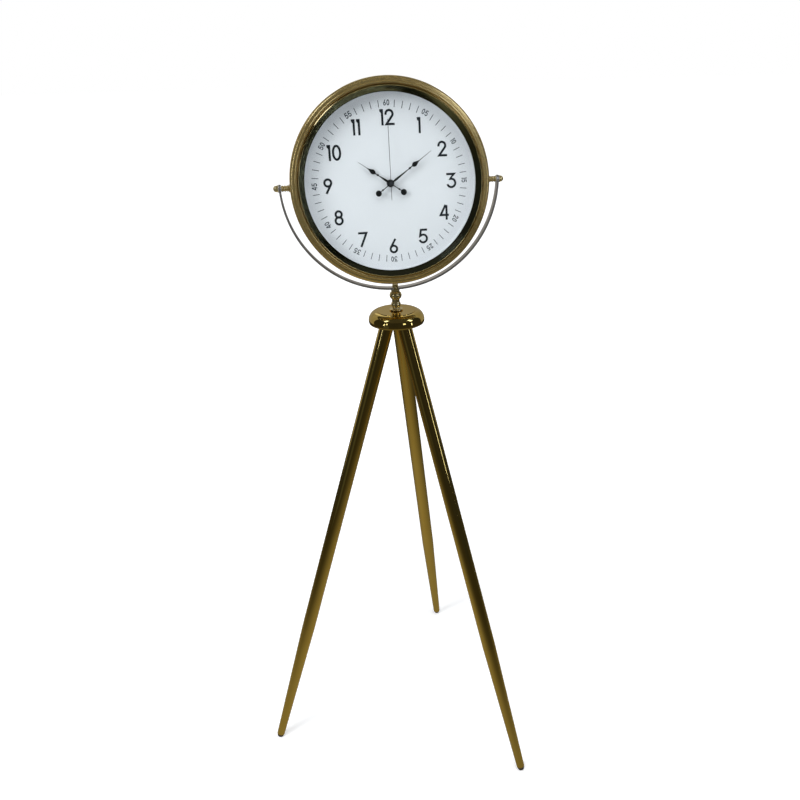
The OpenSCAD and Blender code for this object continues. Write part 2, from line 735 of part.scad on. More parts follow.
module second_hand() color("dimgray") in_head() rotate([0, 0, -second_angle])
    translate([0, 0, second_hand_y]) difference() {
        union() {
            linear_extrude(0.4) translate([-0.5, -tail_len - 1]) square([1, second_len + tail_len + 1]);
            cylinder(r = 4.4, h = hand_t);
            cylinder(r = 2, h = 2);
        }
        translate([0, 0, -cut]) cylinder(r = second_arbor_r, h = hand_t + cut);
    }

leg(0);  // leg_left
leg(1);  // leg_right
leg(2);  // leg_rear
leg_plugs();
leg_studs();
foot(0);  // foot_left
foot(1);  // foot_right
foot(2);  // foot_rear
hub_cap();
hub_block();
swivel_bush();
post();
post_washer();
post_screw();
yoke_band();
yoke_screw();
tilt_washers();
case_drum();
bezel();
lens();
lens_gasket();
dial_ring();
dial_plate();
dial_clamp_ring();
back_cover();
back_screws();
side_pin(-1);  // side_pin_left
side_pin(1);  // side_pin_right
side_pin_nuts();
knob(-1);  // knob_left
knob(1);  // knob_right
movement_housing();
movement_lid();
motor_block();
battery_cell();
battery_contacts();
dial_washer();
dial_nut();
hour_wheel();
hour_hand();
minute_arbor();
minute_hand();
second_arbor();
second_hand();
set_wheel();
set_knob();
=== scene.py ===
import json
import math

import bmesh
import bpy
from bpy.props import FloatProperty, FloatVectorProperty, PointerProperty
from mathutils import Matrix, Vector


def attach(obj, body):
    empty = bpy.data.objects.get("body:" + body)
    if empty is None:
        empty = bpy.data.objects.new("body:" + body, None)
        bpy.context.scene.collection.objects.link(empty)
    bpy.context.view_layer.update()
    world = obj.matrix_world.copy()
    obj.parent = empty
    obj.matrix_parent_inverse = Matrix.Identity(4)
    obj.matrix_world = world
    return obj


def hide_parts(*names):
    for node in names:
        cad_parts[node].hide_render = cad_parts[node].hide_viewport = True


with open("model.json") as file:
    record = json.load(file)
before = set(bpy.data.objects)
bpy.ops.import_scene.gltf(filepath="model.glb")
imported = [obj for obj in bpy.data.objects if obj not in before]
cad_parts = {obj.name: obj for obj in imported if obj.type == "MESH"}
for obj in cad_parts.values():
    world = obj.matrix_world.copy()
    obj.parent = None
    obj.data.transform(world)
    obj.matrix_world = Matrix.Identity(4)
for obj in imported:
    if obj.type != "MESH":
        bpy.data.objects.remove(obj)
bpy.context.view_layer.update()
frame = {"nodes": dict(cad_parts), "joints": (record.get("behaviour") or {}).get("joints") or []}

bl_info = {
    "name": "Tripod Floor Clock",
    "version": (1, 0, 0),
    "blender": (4, 5, 0),
    "location": "3D View > Sidebar > Floor Clock",
    "description": "Finishes a packed tripod floor clock, prints its dial and sets it in a plain studio",
    "category": "Object",
}

JOINTS = {j["name"]: j for j in frame["joints"]}
DIAL_CENTRE = Vector(JOINTS["minute_hand_turn"]["pos_m"])
DIAL_OUT = Vector(JOINTS["minute_hand_turn"]["axis"]).normalized()
DIAL_RIGHT = Vector((1.0, 0.0, 0.0))
DIAL_UP = DIAL_OUT.cross(DIAL_RIGHT).normalized()
# The bezel's mirror slope, inside SLOPE_EDGE, is painted darker than the brass: a painted dark reflection of
# the dark room before the clock
SLOPE_EDGE = 0.1808  # distance from the dial's axis where the bezel's slope meets its bead
SLOPE_BLEND = 0.0004  # width over which their two colours meet

# Spun pieces
CUT_TURN = math.radians(101.0)  # where the outline is cut, clear of the pins and screws
CUT_WELD = 2e-6  # points of an outline that are closer than this are one point
SHARP_EDGE = math.radians(28.0)  # steeper edges stay sharp
SPIN_STEPS = 256

# Minute numerals, in units of their height
MINUTE_STROKE = 0.17
MINUTE_GAP = 0.12
MINUTE_SQUEEZE = 0.86

# Studio, in metres. Angles run from the camera's side in degrees, positive to the right
FLOOR_LEVEL = -0.0006
FLOOR_SCREEN_LEVEL = -0.0003
NEAR_GLOW = 0.42  # share of the floor's glow that is left under the clock
GLOW_REACH = (0.4, 2.6)  # distances between which the glow grows to its whole strength
LAMPS = (  # name, place, what it is aimed at, width and height
    ("key_lamp", (-2.9, -1.8, 2.7), (0.0, 0.0, 1.1), (1.4, 1.8)),
    ("top_lamp", (0.2, -0.9, 3.6), (0.0, 0.0, 1.0), (2.4, 1.8)),
    ("fill_lamp", (2.8, -1.9, 1.5), (0.0, 0.0, 1.0), (1.0, 2.4)),
)
ROOM_HEIGHT = 4.6
FRONT_START, FRONT_END = -112.0, 108.0  # the dark front wall. The back wall closes the circle
WINDOW_START, WINDOW_END, WINDOW_FOOT = 166.0, 194.0, 2.9  # the pale opening high in the back wall
# Panels: distance, first angle, last angle, foot, head, number of flat pieces
LINE_PANELS = ((2.9, 53.5, 57.0, 0.68, 1.9, 1), (2.9, -61.0, -58.0, 1.08, 2.2, 1),
               (1.5, 58.0, 72.0, 2.1, 3.2, 2), (1.5, -76.0, -62.0, 2.6, 4.0, 2))
SOFT_PANELS = ((2.9, 19.0, 30.0, 1.75, 2.7, 1), (2.9, -52.0, -46.0, 1.75, 2.7, 1))
DIM_PANELS = ((2.9, -64.0, -40.0, 0.0, 1.08, 2),)
SOFT_SHARE = 0.5  # strength of the soft panels, as a share of the line panels'
GLASS_STRENGTH = 0.03  # strength of the bright panels in the clock's smooth glass
# The mirrored floor darkens away from the middle of the stand: share of the reach, share of the colour
FLOOR_FADES = ((0.0, 1.0), (0.2, 0.72), (0.35, 0.46), (0.5, 0.28), (0.7, 0.16), (1.0, 0.11))
FADE_CENTRE = (-0.15, 0.1, 0.0)
FADE_REACH = 2.6


# Settings

def colour_property(name, description, default):
    """A colour that the panel shows as a swatch"""
    return FloatVectorProperty(name=name, description=description, default=default, subtype="COLOR",
                               min=0.0, max=1.0)


class ClockCameraSettings(bpy.types.PropertyGroup):
    """Where the camera stands and how it is turned"""
    place: FloatVectorProperty(
        name="Place", description="Where the camera stands, from the floor under the hub",
        default=(-0.1906, -1.5926, 1.6476), subtype="TRANSLATION", unit="LENGTH")
    pitch: FloatProperty(
        name="Pitch", description="Upward tilt of the view, negative to look down",
        default=math.radians(-25.67), subtype="ANGLE")
    yaw: FloatProperty(
        name="Yaw", description="Turn of the view to the right",
        default=math.radians(10.25), subtype="ANGLE")
    roll: FloatProperty(
        name="Roll", description="Turn of the camera about its own view",
        default=math.radians(0.95), subtype="ANGLE")
    focal: FloatProperty(
        name="Focal length", description="Focal length on a 36 mm wide sensor, in millimetres",
        default=35.1, min=10.0, max=200.0)
    shift_x: FloatProperty(
        name="Shift across", description="Lens shift to the right, as a share of the picture's width",
        default=-0.0533, min=-0.5, max=0.5)
    shift_y: FloatProperty(
        name="Shift up", description="Lens shift upwards, as a share of the picture's width",
        default=0.0143, min=-0.5, max=0.5)


class ClockStudioSettings(bpy.types.PropertyGroup):
    """Floor, lamps and the dark screens that polished metal mirrors"""
    floor_colour: colour_property("Floor", "Colour of the floor", (0.86, 0.86, 0.86))
    floor_size: FloatProperty(
        name="Floor size", description="Side of the square floor", default=60.0, unit="LENGTH")
    sky_colour: colour_property("Sky", "Colour of the even light from all round", (0.93, 0.96, 1.0))
    world_light: FloatProperty(
        name="Sky light", description="Strength of the even light from all round",
        default=0.36, min=0.0, max=2.0)
    key_power: FloatProperty(
        name="Key lamp", description="Power of the large lamp on the left",
        default=84.0, min=0.0, unit="POWER")
    top_power: FloatProperty(
        name="Top lamp", description="Power of the large lamp overhead",
        default=50.0, min=0.0, unit="POWER")
    fill_power: FloatProperty(
        name="Fill lamp", description="Power of the lamp on the right",
        default=20.0, min=0.0, unit="POWER")
    floor_glow: FloatProperty(
        name="Floor glow", description="How far the floor is lifted to white where it is seen",
        default=0.90, min=0.0, max=1.0)
    front_screen: colour_property(
        "Front screens", "Colour of the dark room before the clock, as polished metal mirrors it",
        (0.030, 0.030, 0.026))
    back_screen: colour_property(
        "Back screens", "Colour of the room behind the clock, as polished metal mirrors it",
        (0.34, 0.33, 0.31))
    ceiling: colour_property(
        "Ceiling", "Colour of the ceiling, as polished metal mirrors it",
        (0.055, 0.054, 0.048))
    near_floor: colour_property(
        "Near floor", "Colour of the floor under the clock, as polished metal mirrors it",
        (0.31, 0.28, 0.18))
    window: colour_property(
        "Window", "Colour of the pale opening high behind the clock, as polished metal mirrors it",
        (0.80, 0.79, 0.76))
    line_panel: colour_property(
        "Line panels", "Colour of the panels that leave the bright lines on polished metal",
        (0.60, 0.68, 1.0))
    soft_panel: colour_property(
        "Soft panels", "Colour of the softer panels, which show on the hub's shoulder", (0.72, 0.80, 1.0))
    dim_panel: colour_property(
        "Dim panel", "Colour of the dim screen that greys the left leg's dark side", (0.075, 0.080, 0.072))
    panel_light: FloatProperty(
        name="Light panels", description="Strength of the panels that polished metal shows as bright lines",
        default=5.2, min=0.0, max=10.0)
    screen_radius: FloatProperty(
        name="Screen distance", description="How far the screens stand from the clock",
        default=4.0, unit="LENGTH")


class ClockMetalSettings(bpy.types.PropertyGroup):
    """Polished brass and nickelled steel"""
    tube_brass: colour_property(
        "Tube brass", "Colour of the lacquered brass of the legs and the hub",
        (0.80, 0.58, 0.16))
    case_brass: colour_property(
        "Case brass", "Colour of the spun brass of the case and bezel",
        (0.80, 0.60, 0.235))
    # Painted reflection: the slope's dark colour stands for the dark room that the slope mirrors, not for
    # darker metal
    slope_brass: colour_property("Slope brass", "Colour of the bezel's dark mirror slope", (0.27, 0.28, 0.17))
    pin_brass: colour_property(
        "Turned brass", "Colour of the turned brass of the side pins and knobs",
        (0.78, 0.64, 0.31))
    # Painted light: the post's brass is the side pins' brass made 15% brighter, to stand for brighter
    # highlights on the post
    post_brass: colour_property(
        "Post brass", "Colour of the turned brass of the post",
        (0.897, 0.736, 0.3565))
    polish: FloatProperty(
        name="Roughness", description="Roughness of the polished brass", default=0.08, min=0.0, max=1.0)
    hub_polish: FloatProperty(
        name="Hub roughness", description="Roughness of the hub's cap", default=0.064, min=0.0, max=1.0)
    post_polish: FloatProperty(
        name="Post roughness", description="Roughness of the turned post", default=0.12, min=0.0, max=1.0)
    satin: FloatProperty(
        name="Case roughness", description="Roughness of the spun case, which is less polished",
        default=0.23, min=0.0, max=1.0)
    nickel: colour_property("Nickel", "Colour of the yoke's bar", (0.76, 0.73, 0.69))


class ClockDialSettings(bpy.types.PropertyGroup):
    """The painted dial and what is printed on it"""
    paint: colour_property("Paint", "Colour of the dial", (0.76, 0.775, 0.82))
    # Painted shade: the ring round the dial is the dial's paint made darker, to stand for the shade inside
    # the bezel
    ring_shade: FloatProperty(
        name="Ring shade", description="Brightness of the ring round the dial, as a share of the dial's",
        default=0.72, min=0.0, max=1.0)
    gasket: colour_property("Gasket", "Colour of the glass's rubber gasket", (0.015, 0.015, 0.016))
    hands: colour_property("Hands", "Colour of the hour and minute hands", (0.006, 0.006, 0.007))
    second_hand: colour_property("Second hand", "Colour of the second hand", (0.035, 0.037, 0.042))
    dial_nut: colour_property("Dial nut", "Colour of the nut and washer under the hands", (0.05, 0.05, 0.055))
    ink: colour_property("Ink", "Colour of the hour numerals", (0.010, 0.013, 0.018))
    grey_ink: colour_property("Grey ink", "Colour of the minute ring", (0.045, 0.055, 0.075))
    hour_height: FloatProperty(
        name="Hour numeral height", description="Height of an hour numeral", default=0.030, unit="LENGTH")
    hour_radius: FloatProperty(
        name="Hour circle", description="Radius of the circle through the hour numerals",
        default=0.1243, unit="LENGTH")
    hour_stroke: FloatProperty(
        name="Hour stroke", description="Stroke of an hour numeral as a share of its height",
        default=0.145, min=0.05, max=0.25)
    minute_height: FloatProperty(
        name="Minute numeral height", description="Height of a minute numeral", default=0.0108, unit="LENGTH")
    minute_radius: FloatProperty(
        name="Minute number circle", description="Radius of the circle through the minute numerals",
        default=0.1509, unit="LENGTH")
    tick_radius: FloatProperty(
        name="Tick circle", description="Radius of the circle through the minute ticks",
        default=0.1495, unit="LENGTH")
    tick_length: FloatProperty(
        name="Tick length", description="Length of a minute tick", default=0.0135, unit="LENGTH")
    tick_width: FloatProperty(
        name="Tick width", description="Width of a minute tick", default=0.0013, unit="LENGTH")
    print_lift: FloatProperty(
        name="Ink lift", description="Height of the ink over the paint", default=0.00006, unit="LENGTH")


class ClockPartsSettings(bpy.types.PropertyGroup):
    """Colours of the small parts of the stand, the case and the movement"""
    foot_rubber: colour_property("Feet", "Colour of the rubber feet", (0.040, 0.030, 0.022))
    hub_casting: colour_property("Hub block", "Colour of the cast block in the hub", (0.16, 0.16, 0.165))
    stand_zinc: colour_property("Stand zinc", "Colour of the plugs, studs and screw", (0.58, 0.59, 0.61))
    bush_nylon: colour_property("Bush", "Colour of the bush under the post", (0.028, 0.028, 0.030))
    washer_nylon: colour_property("Tilt washers", "Colour of the yoke's washers", (0.70, 0.69, 0.64))
    cover_paint: colour_property("Back cover", "Colour of the painted back cover", (0.020, 0.020, 0.021))
    case_zinc: colour_property("Case zinc", "Colour of the case's screws, nuts and ring", (0.56, 0.57, 0.59))
    movement: colour_property("Movement", "Colour of the movement's housing and lid", (0.014, 0.014, 0.015))
    motor_copper: colour_property("Motor", "Colour of the motor's winding", (0.60, 0.26, 0.12))
    battery_jacket: colour_property("Battery", "Colour of the battery's jacket", (0.030, 0.085, 0.060))
    contact_nickel: colour_property("Contacts", "Colour of the battery's contacts", (0.66, 0.65, 0.62))
    set_knob: colour_property("Set knob", "Colour of the knob that sets the hands", (0.66, 0.66, 0.64))


class ClockSettings(bpy.types.PropertyGroup):
    """All settings of the floor clock"""
    camera: PointerProperty(type=ClockCameraSettings)
    studio: PointerProperty(type=ClockStudioSettings)
    metal: PointerProperty(type=ClockMetalSettings)
    dial: PointerProperty(type=ClockDialSettings)
    parts: PointerProperty(type=ClockPartsSettings)


# Materials

class Shader:
    """A material under construction, with the principled shader as its surface"""

    def __init__(self, name):
        self.material = bpy.data.materials.new(name)
        self.material.use_nodes = True
        self.tree = self.material.node_tree
        self.tree.nodes.clear()
        self.out = self.node("ShaderNodeOutputMaterial")
        self.surface = self.node("ShaderNodeBsdfPrincipled")
        self.join(self.surface.outputs[0], self.out.inputs["Surface"])
        self.place = self.node("ShaderNodeTexCoord").outputs["Object"]

    def node(self, kind, **values):
        made = self.tree.nodes.new(kind)
        for key, value in values.items():
            setattr(made, key, value)
        return made

    def join(self, source, target):
        self.tree.links.new(source, target)

    def set(self, **values):
        for key, value in values.items():
            socket = self.surface.inputs[key.replace("_", " ")]
            if isinstance(value, bpy.types.NodeSocket):
                self.join(value, socket)
            elif hasattr(value, "__len__"):
                socket.default_value = (*value[:3], 1.0)
            else:
                socket.default_value = value

    def noise(self, scale, detail, rough=0.5, stretch=(1, 1, 1)):
        mapping = self.node("ShaderNodeMapping")
        mapping.inputs["Scale"].default_value = stretch
        self.join(self.place, mapping.inputs["Vector"])
        made = self.node("ShaderNodeTexNoise")
        made.inputs["Scale"].default_value = scale
        made.inputs["Detail"].default_value = detail
        made.inputs["Roughness"].default_value = rough
        self.join(mapping.outputs[0], made.inputs["Vector"])
        return made.outputs["Fac"]

    def ramp(self, source, low, high, start=0.35, end=0.65):
        made = self.node("ShaderNodeValToRGB")
        first, last = made.color_ramp.elements
        first.position, last.position = start, end
        first.color, last.color = (*low[:3], 1.0), (*high[:3], 1.0)
        self.join(source, made.inputs["Fac"])
        return made.outputs["Color"]

    def stops(self, source, colours):
        """Colour by value, from a list of (value, colour)"""
        made = self.node("ShaderNodeValToRGB")
        marks = made.color_ramp.elements
        while len(marks) < len(colours):
            marks.new(0.5)
        for mark, (value, colour) in zip(marks, colours):
            mark.position, mark.color = value, (*colour[:3], 1.0)
        self.join(source, made.inputs["Fac"])
        return made.outputs["Color"]

    def away_from(self, centre, axis):
        """Distance from a line through centre along axis, in metres"""
        offset = self.node("ShaderNodeVectorMath", operation="SUBTRACT")
        self.join(self.place, offset.inputs[0])
        offset.inputs[1].default_value = centre
        across = self.node("ShaderNodeVectorMath", operation="CROSS_PRODUCT")
        self.join(offset.outputs[0], across.inputs[0])
        across.inputs[1].default_value = axis
        length = self.node("ShaderNodeVectorMath", operation="LENGTH")
        self.join(across.outputs[0], length.inputs[0])
        return length.outputs["Value"]

    def range(self, source, low, high, start=0.3, end=0.7):
        made = self.node("ShaderNodeMapRange")
        made.inputs["From Min"].default_value = start
        made.inputs["From Max"].default_value = end
        made.inputs["To Min"].default_value = low
        made.inputs["To Max"].default_value = high
        self.join(source, made.inputs["Value"])
        return made.outputs["Result"]

    def bump(self, source, strength, distance):
        made = self.node("ShaderNodeBump")
        made.inputs["Strength"].default_value = strength
        made.inputs["Distance"].default_value = distance
        self.join(source, made.inputs["Height"])
        self.join(made.outputs[0], self.surface.inputs["Normal"])


def cover(names, material):
    """Gives the named nodes one material in place of what they had"""
    for name in names:
        mesh = frame["nodes"][name].data
        mesh.materials.clear()
        mesh.materials.append(material)


def brass(name, colour, rough, smudge, slope=None, metal=1.0, skin=0.003):
    """Lacquered brass with faint smudges. A slope colour is painted on the mirror face inside the bezel's
    bead: a painted dark reflection, darker than the brass, in place of the dark room that the slope mirrors
    """
    made = Shader(name)
    deep = (colour[0] * 0.94, colour[1] * 0.91, colour[2] * 0.85)
    tint = made.ramp(made.noise(smudge, 4.0, 0.6), deep, colour, 0.30, 0.62)
    # Painted dark reflection: inside SLOPE_EDGE the brass takes the slope's dark colour
    if slope is not None:
        mix = made.node("ShaderNodeMix", data_type="RGBA")
        reach = made.away_from(DIAL_CENTRE, DIAL_OUT)
        made.join(made.range(reach, 0.0, 1.0, SLOPE_EDGE - SLOPE_BLEND, SLOPE_EDGE), mix.inputs[0])
        mix.inputs[6].default_value = (*slope[:3], 1.0)
        made.join(tint, mix.inputs[7])
        tint = mix.outputs[2]
    made.set(Base_Color=tint, Metallic=metal,
             Roughness=made.range(made.noise(smudge * 4, 5.0, 0.65), rough * 0.92, rough * 1.1))
    made.bump(made.noise(700.0, 2.0), skin, 0.0001)
    return made.material


def plain_metal(name, colour, rough, grain=(1, 1, 1), scale=300.0, depth=0.00008, metal=1.0):
    """Satin metal with a fine grain"""
    made = Shader(name)
    grains = made.noise(scale, 4.0, 0.6, grain)
    darker = [c * 0.82 for c in colour[:3]]
    made.set(Base_Color=made.ramp(grains, darker, colour), Metallic=metal,
             Roughness=made.range(grains, rough * 0.85, rough * 1.2))
    made.bump(grains, 0.12, depth)
    return made.material


def moulded(name, colour, rough, scale=1600.0, depth=0.00006, sheen=0.5, vary=0.85):
    """Moulded plastic or rubber with a fine skin"""
    made = Shader(name)
    skin = made.noise(scale, 3.0, 0.6)
    cloud = made.noise(18.0, 4.0, 0.55)
    made.set(Base_Color=made.ramp(cloud, [c * vary for c in colour[:3]], colour), Metallic=0.0,
             Roughness=made.range(skin, rough * 0.85, min(1.0, rough * 1.15)))
    made.surface.inputs["Specular IOR Level"].default_value = sheen
    made.bump(skin, 0.18, depth)
    return made.material


# Spun pieces, which stand for their CAD nodes with an even mesh

def cut_loops(mesh, centre, axis):
    """Closed outlines of a spun piece in a half plane through its axis, as (distance, height) points"""
    side = axis.orthogonal().normalized()
    side.rotate(Matrix.Rotation(CUT_TURN, 3, axis))
    bm = bmesh.new()
    bm.from_mesh(mesh)
    bmesh.ops.remove_doubles(bm, verts=bm.verts, dist=CUT_WELD)
    bmesh.ops.bisect_plane(bm, geom=bm.verts[:] + bm.edges[:] + bm.faces[:], dist=1e-8, plane_co=centre,
                           plane_no=axis.cross(side), clear_inner=True, clear_outer=True)
    far = [v for v in bm.verts if (v.co - centre).dot(side) < 0.0]
    bmesh.ops.delete(bm, geom=far, context="VERTS")
    bmesh.ops.remove_doubles(bm, verts=bm.verts, dist=CUT_WELD)
    loops, left = [], dict.fromkeys(bm.verts)
    while left:
        vert, loop = next(iter(left)), []
        while vert is not None:
            offset = vert.co - centre
            loop.append((offset.dot(side), offset.dot(axis)))
            del left[vert]
            ahead = [e.other_vert(vert) for e in vert.link_edges]
            vert = next((v for v in ahead if v in left), None)
        if len(loop) > 3:
            loops.append(loop)
    bm.free()
    if not loops:
        raise RuntimeError("No closed outline in " + mesh.name)
    return loops


def spun(name, node, centre, axis):
    """A spun piece in place of a CAD node, turned from the node's own outline"""
    side = axis.orthogonal().normalized()
    across = axis.cross(side)
    corners, faces = [], []
    for loop in cut_loops(frame["nodes"][node].data, centre, axis):
        first, count = len(corners), len(loop)
        for i in range(SPIN_STEPS):
            angle = math.tau * i / SPIN_STEPS
            out = side * math.cos(angle) + across * math.sin(angle)
            corners += [centre + out * reach + axis * height for reach, height in loop]
        for i in range(SPIN_STEPS):
            a, b = first + i * count, first + (i + 1) % SPIN_STEPS * count
            faces += [(a + j, a + (j + 1) % count, b + (j + 1) % count, b + j) for j in range(count)]
    mesh = bpy.data.meshes.new(name)
    mesh.from_pydata([tuple(c) for c in corners], [], faces)
    bm = bmesh.new()
    bm.from_mesh(mesh)
    bmesh.ops.recalc_face_normals(bm, faces=bm.faces)
    bm.to_mesh(mesh)
    bm.free()
    mesh.shade_smooth()
    mesh.set_sharp_from_angle(angle=SHARP_EDGE)
    piece = bpy.data.objects.new(name, mesh)
    bpy.context.scene.collection.objects.link(piece)
    mesh.materials.append(frame["nodes"][node].data.materials[0])
    bpy.context.view_layer.update()
    return piece


# Shapes of the printed numerals, in units of their height

def arc(x, y, radius, start, end, steps=28, tall=None):
    """Points along an arc, from one angle in degrees to another"""
    tall = radius if tall is None else tall
    return [(x + radius * math.cos(math.radians(start + (end - start) * i / steps)),
             y + tall * math.sin(math.radians(start + (end - start) * i / steps))) for i in range(steps + 1)]


def tangent_leg(x, y, radius, far_x, far_y):
    """From a far point to where a straight leg meets a ring on its left side"""
    dx, dy = far_x - x, far_y - y
    reach = math.hypot(dx, dy)
    turn = math.atan2(dy, dx) + math.acos(radius / reach)
    return [(far_x, far_y), (x + radius * math.cos(turn), y + radius * math.sin(turn))]


def numeral(digit, stroke):
    """(strokes, filled outlines, width) of one digit. A stroke is (points, closed)"""
    h = stroke / 2
    if digit == "0":
        return [(arc(0.30, 0.5, 0.30 - h, 0, 360, 48, 0.5 - h)[:-1], True)], [], 0.60
    if digit == "1":
        stem = 0.25 - stroke
        return [], [[(stem, 0), (0.25, 0), (0.25, 1), (stem, 1)],
                    [(stem, 1), (0.0, 0.99), (0.015, 0.85), (stem, 0.74)]], 0.25
    if digit == "2":
        return [(arc(0.30, 0.70, 0.30 - h, 195, -38) + [(0.105, h), (0.64, h)], False)], [], 0.64
    if digit == "3":
        return [([(0.01, 1 - h), (0.54, 1 - h)] + arc(0.345, 0.345, 0.345 - h, 108, -165), False)], [], 0.69
    if digit == "4":
        return [([(0.44, 1.0), (0.085, 0.25 + h), (0.66, 0.25 + h)], False),
                ([(0.50, 0.0), (0.50, 0.98)], False)], [], 0.66
    if digit == "5":
        return [([(0.62, 1 - h), (0.185, 1 - h), (0.115, 0.515)]
                 + arc(0.325, 0.335, 0.335 - h, 128, -162), False)], [], 0.66
    if digit in "69":
        ring = arc(0.295, 0.295, 0.295 - h, 0, 360, 40)[:-1]
        leg = tangent_leg(0.295, 0.295, 0.295 - h, 0.43, 0.985)
        if digit == "6":
            return [(ring, True), (leg, False)], [], 0.59
        flip = [[(0.59 - x, 1.0 - y) for x, y in path] for path in (ring, leg)]
        return [(flip[0], True), (flip[1], False)], [], 0.59
    if digit == "7":
        return [([(0.0, 1 - h), (0.565, 1 - h), (0.165, 0.0)], False)], [], 0.62
    return [(arc(0.31, 0.725, 0.275 - h, 0, 360, 40)[:-1], True),
            (arc(0.31, 0.305, 0.305 - h, 0, 360, 40)[:-1], True)], [], 0.62


def ribbon(points, width, closed):
    """Corners and faces of a flat band of even width along the points, with mitred joints"""
    count = len(points)
    corners, faces = [], []
    for i, (x, y) in enumerate(points):
        before = points[i - 1] if closed or i else None
        after = points[(i + 1) % count] if closed or i < count - 1 else None
        runs = []
        for a, b in ((before, (x, y)), ((x, y), after)):
            if a is not None and b is not None:
                length = math.hypot(b[0] - a[0], b[1] - a[1]) or 1.0
                runs.append((-(b[1] - a[1]) / length, (b[0] - a[0]) / length))
        nx, ny = sum(r[0] for r in runs) / len(runs), sum(r[1] for r in runs) / len(runs)
        size = max(nx * nx + ny * ny, 0.16)
        side = width / 2 / size
        corners += [(x + nx * side, y + ny * side), (x - nx * side, y - ny * side)]
    for i in range(count if closed else count - 1):
        a, b = 2 * i, 2 * ((i + 1) % count)
        faces.append((a, a + 1, b + 1, b))
    return corners, faces


def lettering(text, stroke, gap=0.085):
    """Corners and faces of a number, centred on the middle of its height and width"""
    corners, faces, pen = [], [], 0.0
    for digit in text:
        strokes, outlines, width = numeral(digit, stroke)
        for points, closed in strokes:
            c, f = ribbon(points, stroke, closed)
            faces += [tuple(i + len(corners) for i in face) for face in f]
            corners += [(x + pen, y) for x, y in c]
        for outline in outlines:
            faces.append(tuple(range(len(corners), len(corners) + len(outline))))
            corners += [(x + pen, y) for x, y in outline]
        pen += width + gap
    middle = (pen - gap) / 2
    return [(x - middle, y - 0.5) for x, y in corners], faces


def dial_face_depth():
    """How far the dial's painted face lies in front of the hands' turning point"""
    mesh = frame["nodes"]["dial_plate"].data
    return max((v.co - DIAL_CENTRE).dot(DIAL_OUT) for v in mesh.vertices)


def printed(name, flats, material, lift):
    """One printed piece made of flat shapes, given in the dial's own plane"""
    depth = dial_face_depth() + lift
    corners, faces = [], []
    for c, f in flats:
        faces += [tuple(i + len(corners) for i in face) for face in f]
        corners += [DIAL_CENTRE + DIAL_RIGHT * x + DIAL_UP * y + DIAL_OUT * depth for x, y in c]
    mesh = bpy.data.meshes.new(name)
    mesh.from_pydata([tuple(c) for c in corners], [], faces)
    mesh.update()
    piece = bpy.data.objects.new(name, mesh)
    bpy.context.scene.collection.objects.link(piece)
    mesh.materials.append(material)
    bpy.context.view_layer.update()
    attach(piece, "head")
    return piece


def turned(corners, angle, radius, size=1.0):
    """Moves flat corners out to a radius and turns them clockwise by an angle from twelve o'clock"""
    s, c = math.sin(angle), math.cos(angle)
    moved = [(x * size, y * size + radius) for x, y in corners]
    return [(x * c + y * s, -x * s + y * c) for x, y in moved]


# Operators

class CLOCK_OT_camera(bpy.types.Operator):
    """Stand the camera in front of the clock, a little above its head"""
    bl_idname = "clock.camera"
    bl_label = "Place the camera"

    def execute(self, context):
        s = context.scene.floor_clock.camera
        ahead = Vector((math.sin(s.yaw) * math.cos(s.pitch), math.cos(s.yaw) * math.cos(s.pitch),
                        math.sin(s.pitch)))
        level = Vector((math.cos(s.yaw), -math.sin(s.yaw), 0.0))
        above = level.cross(ahead)
        right = level * math.cos(s.roll) - above * math.sin(s.roll)
        up = level * math.sin(s.roll) + above * math.cos(s.roll)
        data = bpy.data.cameras.new("studio_camera")
        data.sensor_width = 36.0
        data.sensor_fit = "HORIZONTAL"
        data.lens = s.focal
        data.shift_x, data.shift_y = s.shift_x, s.shift_y
        data.clip_start, data.clip_end = 0.02, 200.0
        camera = bpy.data.objects.new("studio_camera", data)
        context.scene.collection.objects.link(camera)
        turn = Matrix((right, up, -ahead)).transposed().to_4x4()
        camera.matrix_world = Matrix.Translation(Vector(s.place)) @ turn
        context.scene.camera = camera
        return {"FINISHED"}


